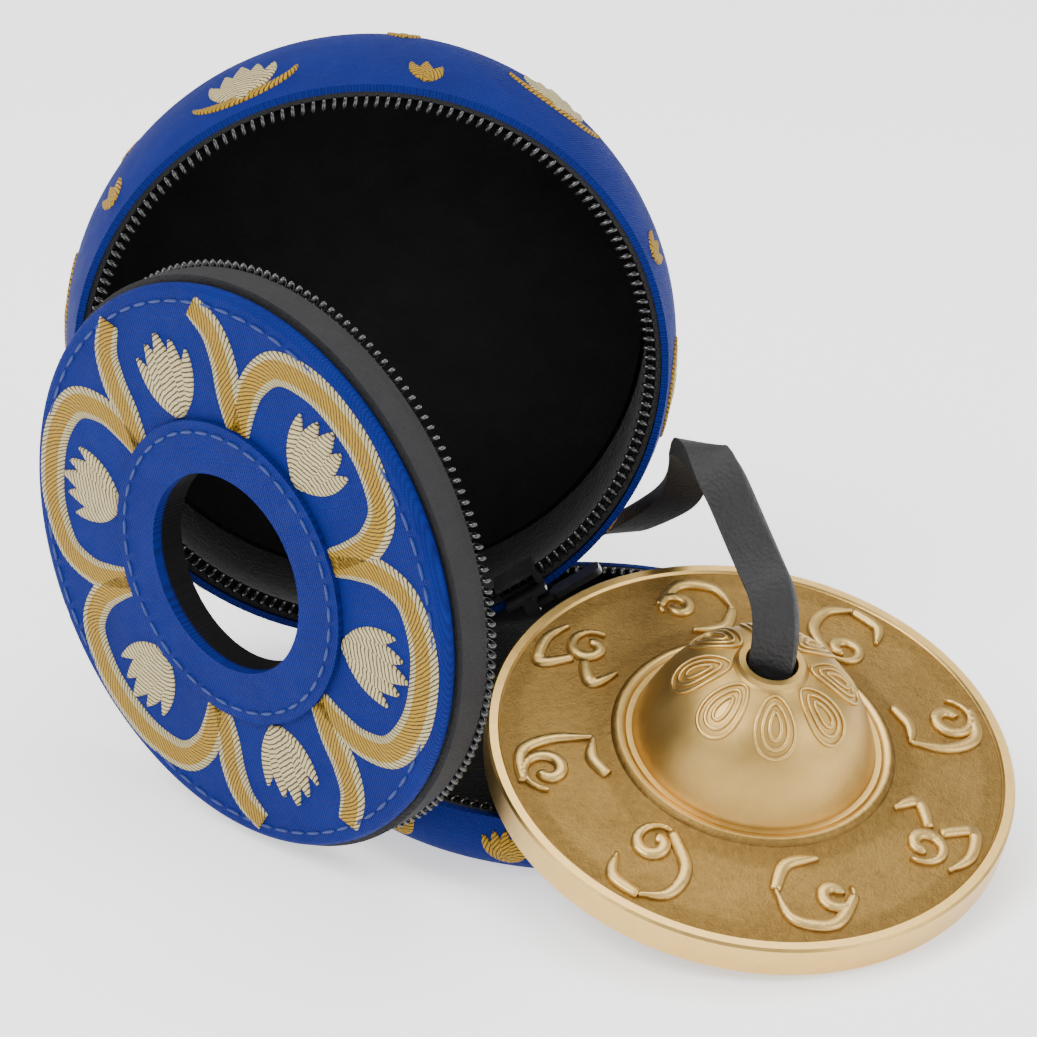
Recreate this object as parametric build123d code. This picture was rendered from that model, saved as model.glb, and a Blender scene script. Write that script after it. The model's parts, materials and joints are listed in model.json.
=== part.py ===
"""Hand cymbals: a pair on a leather strap, with their round zip case standing open beside them.

Millimetres, +Z up. The origin is the centre of the flat underside of the case's back cover, which
lies open side up. The case body stands on its side on that cover with its front opening facing -Y,
and its window lid is swung open to the left.
"""
import os
from math import cos, pi, radians, sin, sqrt

from build123d import *

# ---------------------------------------------------------------- driving dimensions: cymbals
CYMBAL_R = 32.5            # outer radius
CYMBAL_H = 18.2            # overall height
LIP_H = 4.2                # height of the plain side wall
LIP_W = 2.2                # width of the thick lip
EDGE_BREAK = 0.3           # bevel on the lip, the band and the collar
BAND_W = 1.3               # raised smooth band on top of the lip
BAND_H = 0.35              # how far the band stands above the field
FIELD_T = 1.9              # metal thickness of the field
FIELD_RISE = 1.1           # rise of the field from band to shoulder
SHOULDER_R = 16.6          # ring round the foot of the bell
SHOULDER_W = 0.9           # half its width
SHOULDER_H = 0.7
BELL_R = 15.0              # foot radius of the bell
BELL_T = 1.7               # metal thickness of the bell
BELL_BULGE = ((0.86, 0.42), (0.60, 0.83))        # outer curve: share of radius, share of height
BELL_BULGE_IN = ((0.86, 0.34), (0.60, 0.72))     # inner curve, the same way
COLLAR_R = 4.3             # ring round the strap hole
COLLAR_H = 0.6
HOLE_R = 3.2

# ---------------------------------------------------------------- driving dimensions: strap
STRAP_D = 3.2              # stand-in tube for the flat strap
STRAP_RUN_LIMIT = 0.45     # share of the shorter run that a corner arc may use
KNOT_R = 4.6               # half width of the knot
KNOT_H = 6.0               # height of the knot
KNOT_ROUND = 1.8           # its rounded ends
KNOT_GAP = 0.4             # knot to metal

# ---------------------------------------------------------------- driving dimensions: zip case
ZIP_R = 35.6               # centre radius of the zip coils on the body and the lid
COIL_R = 0.65              # half thickness of a zip coil
COIL_SET = 1.0             # coil centre to the plane where two zips meet
TAPE_T = 0.5               # thickness of zip tape
TAPE_W = 1.3               # width of tape left showing
BODY_D = 24.0              # body depth, front zip to back zip
BODY_BULGE = 1.9           # how far the body's wall swells beyond its edges
EDGE_OUT = 2.3             # outer cover edge beyond the coil's centre
EDGE_BACK = 0.3            # outer cover edge behind the zip plane
LAYER_BACK = 1.8           # board and lining edges behind the zip plane
COVER_T = 0.9              # outer cloth and its backing
BOARD_T = 1.0              # stiffener
LINING_T = 0.8             # velvet
LAYER_GAP = 0.05           # between sewn layers
LAYER_CLEAR = 0.2          # back cover's board and lining stop this far under its coil
DIVIDER_Y = 17.5           # depth of the front compartment
DIVIDER_T = 2.4

BACK_R = 34.0              # coil radius of the back cover, whose edge curls in once unzipped
BACK_H = 8.9               # height of its zip edge
BACK_BULGE_R = 36.8        # its widest radius
BACK_CORNER = 5.6          # its bottom corner, up to its widest place
BACK_WALL_R = 9.25         # curve of its side above that
BACK_BOARD_T = 0.6
BACK_LINING_T = 0.5

LID_FACE_R = 35.3          # outer radius of the lid's face
LID_DEPTH = 7.9            # zip plane to the front of the face
LID_FACE_T = 2.0
LID_FACE_ROUND = 0.9       # its soft outer edge
LID_TAPE_W = 1.0           # tape left showing between coil and gusset
GUSSET_T = 0.8
WINDOW_R = 12.6
COLLAR_OUT_R = 19.1
COLLAR_T = 0.65
COLLAR_LINER_T = 0.6

# ---------------------------------------------------------------- driving dimensions: places
BODY_STAND = 9.3                   # lowest point of the body's wall, just clear of the cover's rim
BODY_AT = (-26.7, 8.3, BODY_STAND + ZIP_R + EDGE_OUT + BODY_BULGE)      # centre of the front opening
HINGE_OUT = 3.3                    # lid hinge axis beyond the coil's centre
LID_OPEN = 43.9                    # degrees
LID_SAG = 18.7                     # degrees the open lid hangs down in its own plane
FRONT_AT = (19.0, -27.3, 14.2)     # centre of the front cymbal's top edge
FRONT_TILT = 17.6
FRONT_TILT_TO = 20.2               # compass angle of the low side, from -Y towards +X
REAR_AT = (-25.4, 77.6)            # rear cymbal, lying flat

# ---------------------------------------------------------------- driving dimensions: zip sliders
SLIDER_AT = 302.0          # front slider's place on the ring, degrees anticlockwise from the right
REAR_SLIDER_AT = 226.0     # the rear one's
SLIDER_L = 6.0             # along the coil
INNER_PLATE_Z = (-2.3, 1.9)        # reach across the two coils, from the zip plane
OUTER_PLATE_Z = (-0.1, 2.4)        # the same outside, kept clear of the body's tape
PLATE_T = 0.6
PLATE_GAP = 0.5            # plate to coil
POST_T = 0.4               # wedge between the coils
POST_L = 1.0
EAR_L = 1.8
EAR_H = 1.9
EAR_T = 0.5
EAR_APART = 2.1            # between the middles of the two ears
PIN_OUT = 1.3              # pin above the outer plate
PIN_R = 0.45
PIN_GAP = 0.1
PULL_Z = 1.2               # middle of the pull, from the zip plane
PULL_L = 7.2
PULL_W = 2.6
PULL_ROUND = 0.78          # corners of its paddle
PULL_T = 0.9
PULL_NECK = 3.2
EYE_W = 1.4
EYE_WALL = 0.55

# ---------------------------------------------------------------- driving dimensions: lid hinge
HINGE_ROLL_R = 0.5
HINGE_Z = (-9.0, 3.0)     # lower and upper end, from the height of the body's centre

PARTS = {}


def add(name, solid):
    PARTS[name] = solid


def turned(*edges):
    """Solid of revolution about Z from edges drawn as (radius, height)."""
    return revolve(Plane.XZ * make_face(list(edges)), Axis.Z, 360)


def band(r0, r1, z0, z1):
    """Plain ring."""
    return turned(Polyline((r0, z0), (r1, z0), (r1, z1), (r0, z1), close=True))


def barrel(r_edge, bulge, z0, z1, thick):
    """Ring with a swelling wall of even thickness, from z0 to z1."""
    mid = (z0 + z1) / 2
    outer = ThreePointArc((r_edge, z0), (r_edge + bulge, mid), (r_edge, z1))
    inner = ThreePointArc((r_edge - thick, z1), (r_edge - thick + bulge, mid), (r_edge - thick, z0))
    return turned(outer, Line(outer @ 1, inner @ 0), inner, Line(inner @ 1, outer @ 0))


def rim_coil(r, z):
    """Zip coil as one plain ring; its turns are a matter of finish."""
    return Pos(0, 0, z) * Torus(r, COIL_R)


# ---------------------------------------------------------------- cymbals
def cymbal():
    """A thick-lipped disc with a bell, axis Z, standing on its lip at z = 0."""
    band_in = CYMBAL_R - BAND_W
    field_out = LIP_H - BAND_H
    field_in = field_out + FIELD_RISE
    foot = field_in + SHOULDER_H / 2
    collar_z = CYMBAL_H - COLLAR_H
    rise = collar_z - foot
    lip_r = CYMBAL_R - EDGE_BREAK
    field_r = band_in - EDGE_BREAK
    ring_out = SHOULDER_R + SHOULDER_W
    ring_in = SHOULDER_R - SHOULDER_W
    neck = (COLLAR_R + EDGE_BREAK, collar_z - EDGE_BREAK)
    bulge = [(BELL_R * r, foot + rise * h) for r, h in BELL_BULGE]
    hollow = [(BELL_R * r - BELL_T, foot + rise * h) for r, h in BELL_BULGE_IN]
    field_mid = ((band_in + SHOULDER_R) / 2, field_out + FIELD_RISE / 4)
    bell_top = CYMBAL_H - BELL_T
    under_in = (BELL_R - BELL_T, field_in - FIELD_T)
    under_out = (CYMBAL_R - LIP_W, field_out - FIELD_T)
    outside = [
        Polyline((CYMBAL_R, 0), (CYMBAL_R, LIP_H - EDGE_BREAK), (lip_r, LIP_H), (band_in, LIP_H),
                 (field_r, field_out)),
        ThreePointArc((field_r, field_out), field_mid, (ring_out, field_in)),
        ThreePointArc((ring_out, field_in), (SHOULDER_R, field_in + SHOULDER_H), (ring_in, foot)),
        Line((ring_in, foot), (BELL_R, foot)),
        Spline((BELL_R, foot), *bulge, neck),
        Polyline(neck, (COLLAR_R, collar_z), (COLLAR_R - EDGE_BREAK, CYMBAL_H), (HOLE_R, CYMBAL_H)),
    ]
    inside = [
        Polyline((HOLE_R, CYMBAL_H), (HOLE_R, bell_top), (COLLAR_R, bell_top)),
        Spline((COLLAR_R, bell_top), hollow[1], hollow[0], under_in),
        Polyline(under_in, under_out, (CYMBAL_R - LIP_W, 0), (CYMBAL_R, 0)),
    ]
    return turned(*outside, *inside)


def knot():
    """The overhand knot under the bell, as one plain rounded lump, top at z = 0."""
    lump = Pos(0, 0, -KNOT_H / 2) * Cylinder(KNOT_R, KNOT_H)
    return fillet(lump.edges(), KNOT_ROUND)


tilt = radians(FRONT_TILT)
lean = radians(FRONT_TILT_TO)
front_axis = Vector(sin(lean) * sin(tilt), -cos(lean) * sin(tilt), cos(tilt))
front_centre = Vector(*FRONT_AT) - front_axis * LIP_H
front_plane = Plane(origin=front_centre, x_dir=(cos(lean), sin(lean), 0), z_dir=front_axis)
rear_plane = Plane(origin=(*REAR_AT, 0), x_dir=(1, 0, 0), z_dir=(0, 0, 1))

add("cymbal_front", front_plane * cymbal())
add("cymbal_rear", rear_plane * cymbal())

knot_z = CYMBAL_H - BELL_T - KNOT_GAP
add("knot_front", front_plane * (Pos(0, 0, knot_z) * knot()))
add("knot_rear", rear_plane * (Pos(0, 0, knot_z) * knot()))

# ---------------------------------------------------------------- strap
# Its points are chosen by hand: out of the front bell, up to a sharp fold, down past the case
# body's right wall, over the back cover's edge, and up into the rear bell.
hole_front = front_centre + front_axis * knot_z
hole_rear = Vector(*REAR_AT, knot_z)
STRAP_ROUTE = [
    tuple(hole_front),
    tuple(front_centre + front_axis * 25.5),
    (18.2, -26.8, 40.2),
    (14.0, -22.6, 49.6),
    (11.8, -15.0, 48.6),
    (13.2, -3.4, 41.0),
    (13.4, 8.6, 31.5),
    (10.2, 20.6, 23.2),
    (6.4, 32.1, 15.6),
    (1.4, 43.1, 11.8),
    (-6.2, 53.4, 12.8),
    (-13.2, 63.2, 19.0),
    (-20.6, 72.0, 26.6),
    (REAR_AT[0], REAR_AT[1], 27.6),
    tuple(hole_rear),
]


def corner_radii(route):
    """The largest tangent arc that the two runs at each corner allow."""
    radii = []
    for before, here, after in zip(route, route[1:], route[2:]):
        a = Vector(*here) - Vector(*before)
        b = Vector(*after) - Vector(*here)
        half = radians(a.get_angle(b)) / 2
        radii.append(STRAP_RUN_LIMIT * min(a.length, b.length) * cos(half) / sin(half))
    return radii


radii = corner_radii(STRAP_ROUTE)
print("strap corner radii:", [round(r, 1) for r in radii])
strap_line = FilletPolyline(*STRAP_ROUTE, radius=radii)
strap_end = Plane(origin=strap_line @ 0, z_dir=strap_line % 0)
strap = sweep(strap_end * Circle(STRAP_D / 2), path=strap_line)
print("strap length", round(strap_line.length, 1), "volume share",
      round(strap.volume / (pi * STRAP_D ** 2 / 4 * strap_line.length), 4))
add("strap", strap)

# ---------------------------------------------------------------- back cover, open side up
def side_r(inset, z):
    """Radius of the cover's side at height z, moved inwards by inset."""
    return BACK_BULGE_R - BACK_WALL_R + sqrt((BACK_WALL_R - inset) ** 2 - (z - BACK_CORNER) ** 2)


def dish(inset, top):
    """Half section of the cover's dish, moved inwards by inset and open at height top."""
    centre_r = BACK_BULGE_R - BACK_CORNER
    corner = BACK_CORNER - inset
    low_mid = (centre_r + corner * sin(radians(45)), BACK_CORNER - corner * cos(radians(45)))
    high_z = (BACK_CORNER + top) / 2
    floor = Line((0, inset), (centre_r, inset))
    low = ThreePointArc((centre_r, inset), low_mid, (centre_r + corner, BACK_CORNER))
    high_mid = (side_r(inset, high_z), high_z)
    high = ThreePointArc((centre_r + corner, BACK_CORNER), high_mid, (side_r(inset, top), top))
    return floor, low, high


def dish_layer(inset, thick, top):
    floor, low, high = dish(inset, top)
    floor_in, low_in, high_in = dish(inset + thick, top)
    closing = [Line(high @ 1, high_in @ 1), Line(floor_in @ 0, floor @ 0)]
    return turned(floor, low, high, high_in, low_in, floor_in, *closing)


board_in = COVER_T + LAYER_GAP
back_lining_in = board_in + BACK_BOARD_T + LAYER_GAP
back_coil_z = BACK_H - COIL_R
layer_top = back_coil_z - COIL_R - LAYER_CLEAR
back_tape_low = back_coil_z - TAPE_T / 2
back_tape_r0 = BACK_R + COIL_R + LAYER_GAP
back_tape_r1 = side_r(board_in, back_tape_low + TAPE_T)
add("back_cover_shell", dish_layer(0, COVER_T, BACK_H - EDGE_BACK))
add("back_cover_board", dish_layer(board_in, BACK_BOARD_T, layer_top))
add("back_cover_lining", dish_layer(back_lining_in, BACK_LINING_T, layer_top))
add("back_cover_tape", band(back_tape_r0, back_tape_r1, back_tape_low, back_tape_low + TAPE_T))
add("back_cover_coil", rim_coil(BACK_R, back_coil_z))

# ---------------------------------------------------------------- case body
# Drawn with its axis along Z, front opening at z = 0 and back opening at z = -BODY_D.
body_plane = Plane(origin=BODY_AT, x_dir=(1, 0, 0), z_dir=(0, -1, 0))
edge_r = ZIP_R + EDGE_OUT
tape_z = COIL_SET + TAPE_T / 2
lining_r = edge_r - board_in - BOARD_T - LAYER_GAP
add("body_shell", body_plane * barrel(edge_r, BODY_BULGE, -BODY_D + EDGE_BACK, -EDGE_BACK, COVER_T))
board_r = edge_r - board_in
add("body_board", body_plane * barrel(board_r, BODY_BULGE, -BODY_D + LAYER_BACK, -LAYER_BACK, BOARD_T))


def wall_piece(z0, z1):
    """Stretch of the lined wall between two depths, following the wall's swell."""
    whole = barrel(lining_r, BODY_BULGE, -BODY_D + LAYER_BACK, -LAYER_BACK, LINING_T)
    cutter = Pos(0, 0, (z0 + z1) / 2) * Cylinder(edge_r * 2, z1 - z0)
    return whole & cutter


divider_back = DIVIDER_Y + DIVIDER_T
add("front_lining", body_plane * wall_piece(-DIVIDER_Y + LAYER_GAP, -LAYER_BACK))
add("rear_lining", body_plane * wall_piece(-BODY_D + LAYER_BACK, -divider_back - LAYER_GAP))
divider_r = lining_r - LAYER_GAP
add("divider", body_plane * (Pos(0, 0, -(DIVIDER_Y + divider_back) / 2) * Cylinder(divider_r, DIVIDER_T)))
tape_r0 = ZIP_R + COIL_R + LAYER_GAP
tape_r1 = edge_r - COVER_T - LAYER_GAP
add("front_tape", body_plane * band(tape_r0, tape_r1, -tape_z, -tape_z + TAPE_T))
add("rear_tape", body_plane * band(tape_r0, tape_r1, -BODY_D + tape_z - TAPE_T, -BODY_D + tape_z))
add("front_coil", body_plane * rim_coil(ZIP_R, -COIL_SET))
add("rear_coil", body_plane * rim_coil(ZIP_R, -BODY_D + COIL_SET))

# ---------------------------------------------------------------- window lid
hinge_reach = ZIP_R + HINGE_OUT
hinge_at = Vector(BODY_AT[0] - hinge_reach, BODY_AT[1] - COIL_SET, BODY_AT[2])
phi = radians(LID_OPEN)
sag = radians(LID_SAG)
lid_normal = Vector(-sin(phi), -cos(phi), 0)
lid_out = Vector(cos(phi) * cos(sag), -sin(phi) * cos(sag), -sin(sag))
lid_origin = hinge_at + lid_out * hinge_reach - lid_normal * COIL_SET
lid_plane = Plane(origin=lid_origin, x_dir=lid_out, z_dir=lid_normal)
face_back = LID_DEPTH - LID_FACE_T


def lid_face():
    """Round face with a soft outer edge and a hole for the window's collar."""
    hole = WINDOW_R + COLLAR_LINER_T + LAYER_GAP
    disc = band(hole, LID_FACE_R, face_back, LID_DEPTH)
    rim = disc.edges().filter_by(GeomType.CIRCLE).group_by(SortBy.RADIUS)[-1]
    return fillet(rim, LID_FACE_ROUND)


def window_collar():
    """Flat ring on the face with a short tube that lines the window."""
    z0 = face_back - BOARD_T - LINING_T - 2 * LAYER_GAP
    z1 = LID_DEPTH + LAYER_GAP
    liner_r = WINDOW_R + COLLAR_LINER_T
    return turned(Polyline((WINDOW_R, z0), (liner_r, z0), (liner_r, z1), (COLLAR_OUT_R, z1),
                           (COLLAR_OUT_R, z1 + COLLAR_T), (WINDOW_R, z1 + COLLAR_T), close=True))


layer_hole = WINDOW_R + COLLAR_LINER_T + LAYER_GAP
gusset_r = ZIP_R - GUSSET_T / 2
board_top = face_back - LAYER_GAP
lining_top = board_top - BOARD_T - LAYER_GAP
tape_from = COIL_SET + COIL_R + LAYER_GAP
tape_to = tape_from + LID_TAPE_W
layer_r = gusset_r - LAYER_GAP
add("lid_face", lid_plane * lid_face())
add("window_collar", lid_plane * window_collar())
add("lid_board", lid_plane * band(layer_hole, layer_r, board_top - BOARD_T, board_top))
add("lid_lining", lid_plane * band(layer_hole, layer_r, lining_top - LINING_T, lining_top))
add("lid_tape", lid_plane * band(ZIP_R - TAPE_T / 2, ZIP_R + TAPE_T / 2, tape_from, tape_to))
add("lid_gusset", lid_plane * band(gusset_r, gusset_r + GUSSET_T, tape_to + LAYER_GAP, board_top))
add("lid_coil", lid_plane * rim_coil(ZIP_R, COIL_SET))

# ---------------------------------------------------------------- lid hinge
roll_z0, roll_z1 = HINGE_Z
roll_at = hinge_at + Vector(0, 0, (roll_z0 + roll_z1) / 2)
add("hinge_strip", Pos(*roll_at) * Cylinder(HINGE_ROLL_R, roll_z1 - roll_z0))

# ---------------------------------------------------------------- zip sliders and pulls
# Drawn round two coils that run along Y at x = ZIP_R, with the zip plane at z = 0.
plate_in = ZIP_R - COIL_R - PLATE_GAP
plate_out = ZIP_R + COIL_R + PLATE_GAP
pin_x = plate_out + PLATE_T + PIN_OUT


def block(x0, x1, length, z0, z1):
    """Box centred on y = 0."""
    return Pos((x0 + x1) / 2, 0, (z0 + z1) / 2) * Box(x1 - x0, length, z1 - z0)


def slider():
    """Two plates joined by the wedge, and two ears with the pull's pin."""
    low = block(plate_in - PLATE_T, plate_in, SLIDER_L, *INNER_PLATE_Z)
    high = block(plate_out, plate_out + PLATE_T, SLIDER_L, *OUTER_PLATE_Z)
    post_y = (SLIDER_L - POST_L) / 2
    post = Pos(0, post_y, 0) * block(plate_in, plate_out, POST_L, -POST_T / 2, POST_T / 2)
    ear_x = plate_out + PLATE_T + EAR_H / 2
    ears = [Pos(ear_x, 0, PULL_Z + side * EAR_APART / 2) * Box(EAR_H, EAR_L, EAR_T) for side in (-1, 1)]
    pin = Pos(pin_x, 0, PULL_Z) * Cylinder(PIN_R, EAR_APART + EAR_T)
    return low + high + post + ears[0] + ears[1] + pin


def pull():
    """Tab with an eye on the slider's pin, lying along +Y."""
    bore_r = PIN_R + PIN_GAP
    eye = Cylinder(bore_r + EYE_WALL, EYE_W)
    neck = Pos(0, bore_r + PULL_NECK / 2, 0) * Box(PULL_T, PULL_NECK, EYE_W)
    plate = Pos(0, PULL_NECK + PULL_L / 2, 0) * Box(PULL_T, PULL_L, PULL_W)
    plate = fillet(plate.edges().filter_by(Axis.X), PULL_ROUND)
    tab = eye + neck + plate - Cylinder(bore_r, PULL_W)
    return Pos(pin_x, 0, PULL_Z) * tab


slider_place = body_plane * Rot(0, 0, SLIDER_AT)
rear_slider_place = body_plane * Rot(0, 0, REAR_SLIDER_AT)
mid_depth = Plane(origin=(0, BODY_AT[1] + BODY_D / 2, 0), z_dir=(0, 1, 0))
add("front_slider", slider_place * slider())
add("front_pull", slider_place * pull())
add("rear_slider", mirror(rear_slider_place * slider(), about=mid_depth))
add("rear_pull", mirror(rear_slider_place * pull(), about=mid_depth))
front_pin = slider_place * Pos(pin_x, 0, PULL_Z)
rear_pin = mirror(rear_slider_place * Pos(pin_x, 0, PULL_Z) * Sphere(PIN_R), about=mid_depth).center()

# ---------------------------------------------------------------- write
os.makedirs("parts", exist_ok=True)
for name, solid in PARTS.items():
    export_step(solid, f"parts/{name}.step")
print(len(PARTS), "nodes")
print("lid origin", [round(v, 3) for v in lid_origin], "hinge", [round(v, 3) for v in hinge_at])
print("pull pins", [round(v, 3) for v in front_pin.position], [round(v, 3) for v in rear_pin])
print("front axis", [round(v, 5) for v in front_axis], "front centre", [round(v, 3) for v in front_centre])
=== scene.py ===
# %% [markdown]
# # Hand cymbals with their open zip case
# The solid pieces were drawn first as an exact model. This lesson loads that model as a fixed
# frame, lights it as in a studio, and gives each piece its real surface: cast brass, brocade,
# satin-stitch embroidery, velvet, nylon zip coils and leather.

# %% Load the frame
import json
from math import atan2, cos, pi, radians, sin, sqrt, tau

import bpy
from mathutils import Matrix, Vector


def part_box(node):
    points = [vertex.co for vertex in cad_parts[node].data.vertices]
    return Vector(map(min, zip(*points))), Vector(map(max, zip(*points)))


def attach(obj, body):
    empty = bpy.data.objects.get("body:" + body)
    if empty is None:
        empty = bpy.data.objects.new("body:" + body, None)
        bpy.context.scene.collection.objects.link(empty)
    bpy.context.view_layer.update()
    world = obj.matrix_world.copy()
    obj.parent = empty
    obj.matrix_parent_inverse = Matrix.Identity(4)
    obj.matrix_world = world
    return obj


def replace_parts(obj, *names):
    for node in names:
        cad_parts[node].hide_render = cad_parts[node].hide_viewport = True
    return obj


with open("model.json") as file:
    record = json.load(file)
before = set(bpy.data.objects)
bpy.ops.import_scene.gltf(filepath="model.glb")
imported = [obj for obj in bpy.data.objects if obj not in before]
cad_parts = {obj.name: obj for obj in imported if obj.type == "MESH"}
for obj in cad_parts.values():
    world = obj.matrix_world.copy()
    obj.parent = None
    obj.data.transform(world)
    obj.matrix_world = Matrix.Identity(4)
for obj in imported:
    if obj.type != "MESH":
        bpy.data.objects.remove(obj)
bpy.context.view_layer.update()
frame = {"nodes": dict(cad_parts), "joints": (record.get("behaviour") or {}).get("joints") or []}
nodes = frame["nodes"]
joints = {j["name"]: j for j in frame["joints"]}
MM = 0.001

# %% [markdown]
# ## Where things are
# Every decoration is laid on a piece, so each piece needs its own set of directions. The joints
# already say where the turning centres are, which is exact and saves measuring.

# %% Places and directions of the pieces
body_centre = Vector(joints["front_slider_travel"]["pos_m"])
hinge_at = Vector(joints["lid_swing"]["pos_m"])
lid_out = Vector(joints["lid_sag"]["axis"]).normalized()
low, high = (Vector(c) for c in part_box("lid_coil"))
lid_centre = (low + high) / 2
lid_right = (lid_centre - hinge_at).normalized()
lid_up = lid_out.cross(lid_right)
front_spin, rear_spin = joints["front_cymbal_spin"], joints["rear_cymbal_spin"]
cymbal_at = {
    "front": (Vector(front_spin["pos_m"]), Vector(front_spin["axis"]).normalized()),
    "rear": (Vector(rear_spin["pos_m"]), Vector((0, 0, 1))),
}
print("lid centre", [round(v / MM, 1) for v in lid_centre], "faces", [round(v, 3) for v in lid_out])

# %% [markdown]
# ## Camera
# A long lens from a little above gives the calm, nearly parallel look of a catalogue picture.

# %% Camera
bpy.ops.object.camera_add(
    location=(-21.4 * MM, -323.9 * MM, 182.1 * MM), rotation=(radians(90 - 24.8), 0, radians(-2.3)))
camera = bpy.context.object
camera.name = "studio_camera"
camera.data.lens = 97.2
camera.data.sensor_width = 36
camera.data.clip_start = 0.01
bpy.context.scene.camera = camera
print("camera", [round(v, 3) for v in camera.location])

# %% [markdown]
# ## The strap's line
# The strap is one flat length of leather, knotted inside each bell. Its line is a smooth NURBS
# curve through a few chosen points: out of the front bell, over a fold, down past the case and
# up into the rear bell. The flat section is swept along that line afterwards.

# %% Strap line
strap_route = [
    (20.242, -30.677, 25.543), (21.223, -33.344, 34.503), (18.2, -26.8, 40.2), (14.0, -22.6, 49.6),
    (11.8, -15.0, 48.6), (13.2, -3.4, 41.0), (13.4, 8.6, 31.5), (10.2, 20.6, 23.2), (6.4, 32.1, 15.6),
    (1.4, 43.1, 11.8), (-6.2, 53.4, 12.8), (-13.2, 63.2, 19.0), (-20.6, 72.0, 26.6), (-25.4, 77.6, 27.6),
    (-25.4, 77.6, 16.1),
]
line_data = bpy.data.curves.new("strap_line", "CURVE")
line_data.dimensions = "3D"
line_data.resolution_u = 12
spline = line_data.splines.new("NURBS")
spline.points.add(len(strap_route) - 1)
for point, xyz in zip(spline.points, strap_route):
    point.co = (*(v * MM for v in xyz), 1)
spline.order_u = 3
spline.use_endpoint_u = True
line_object = bpy.data.objects.new("strap_line", line_data)
bpy.context.scene.collection.objects.link(line_object)
line_mesh = bpy.data.meshes.new_from_object(line_object)
strap_path = [v.co.copy() for v in line_mesh.vertices]
bpy.data.objects.remove(line_object)
strap_length = sum((b - a).length for a, b in zip(strap_path, strap_path[1:]))
print("strap", round(strap_length / MM, 1), "mm long,", len(strap_path), "points")

# %% [markdown]
# ## Making meshes
# Most decoration here is a raised strip that follows a drawn line: a line of embroidery, a cast
# ornament, a fold of leather. One helper sweeps a small section along a line and keeps a map of
# length and width on it, so that thread and grain can follow the strip.

# %% A strip swept along a line
def new_piece(name, verts, faces, uvs=None):
    mesh = bpy.data.meshes.new(name)
    mesh.from_pydata([tuple(v) for v in verts], [], faces)
    if uvs:
        layer = mesh.uv_layers.new(name="along_across")
        for loop in mesh.loops:
            layer.data[loop.index].uv = uvs[loop.vertex_index]
    mesh.polygons.foreach_set("use_smooth", [True] * len(mesh.polygons))
    mesh.update()
    piece = bpy.data.objects.new(name, mesh)
    bpy.context.scene.collection.objects.link(piece)
    return piece


STRIP_SECTION = ((-0.5, -0.6), (-0.44, 0.55), (-0.3, 1.0), (0.3, 1.0), (0.44, 0.55), (0.5, -0.6))


def strip_parts(line, widths, height, onto, closed=False):
    """Vertices, faces and map of a raised strip. line holds flat points in millimetres."""
    count = len(line)
    verts, uvs, faces = [], [], []
    run = 0.0
    for i, (a, b) in enumerate(line):
        before = line[i - 1] if i or closed else line[i]
        after = line[(i + 1) % count] if i < count - 1 or closed else line[i]
        ta, tb = after[0] - before[0], after[1] - before[1]
        size = sqrt(ta * ta + tb * tb) or 1.0
        ta, tb = ta / size, tb / size
        if i:
            run += sqrt((a - line[i - 1][0]) ** 2 + (b - line[i - 1][1]) ** 2)
        for across, lift in STRIP_SECTION:
            w = across * widths[i]
            verts.append(onto(a - tb * w, b + ta * w, lift * height))
            uvs.append((run * MM, (across * widths[i] + 10) * MM))
    ring = len(STRIP_SECTION)
    for i in range(count if closed else count - 1):
        for k in range(ring):
            p, q = i * ring + k, i * ring + (k + 1) % ring
            r, s = ((i + 1) % count) * ring + (k + 1) % ring, ((i + 1) % count) * ring + k
            faces.append((p, s, r, q))
    if not closed:
        faces.append(tuple(range(ring)))
        faces.append(tuple(reversed(range((count - 1) * ring, count * ring))))
    return verts, faces, uvs


def joined(name, parts):
    """One piece from several lists of vertices, faces and map."""
    verts, faces, uvs = [], [], []
    for v, f, u in parts:
        start = len(verts)
        verts += v
        uvs += u
        faces += [tuple(start + k for k in face) for face in f]
    return new_piece(name, verts, faces, uvs)


def smooth_line(points, steps=8):
    """A rounder line through the points (Catmull-Rom)."""
    found = []
    for i in range(len(points) - 1):
        p0 = points[max(i - 1, 0)]
        p1, p2 = points[i], points[i + 1]
        p3 = points[min(i + 2, len(points) - 1)]
        for k in range(steps):
            t = k / steps
            found.append(tuple(
                0.5 * (2 * b + (c - a) * t + (2 * a - 5 * b + 4 * c - d) * t * t
                       + (3 * b - a - 3 * c + d) * t ** 3)
                for a, b, c, d in zip(p0, p1, p2, p3)))
    found.append(tuple(points[-1]))
    return found


def polar(r, degrees_round):
    return r * cos(radians(degrees_round)), r * sin(radians(degrees_round))


print("strip section has", len(STRIP_SECTION), "corners")

# %% [markdown]
# ## Laying a flat drawing on a piece
# Each of these takes a flat point and a height above the cloth or metal, and gives the place in
# space. The lid is flat, the case wall is a barrel, and the cymbal is a turned profile that is
# measured by dropping rays on it.

# %% Surfaces to draw on
LID_FRONT = 6.9 * MM       # from the coil's middle to the front of the face
COLLAR_FRONT = 7.6 * MM


def on_lid(a, b, h):
    return lid_centre + lid_right * (a * MM) + lid_up * (b * MM) + lid_out * (LID_FRONT + h * MM)


def on_collar(a, b, h):
    return lid_centre + lid_right * (a * MM) + lid_up * (b * MM) + lid_out * (COLLAR_FRONT + h * MM)


BODY_EDGE_R, BODY_BULGE, BODY_DEPTH = 37.9, 1.9, 24.0


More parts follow.
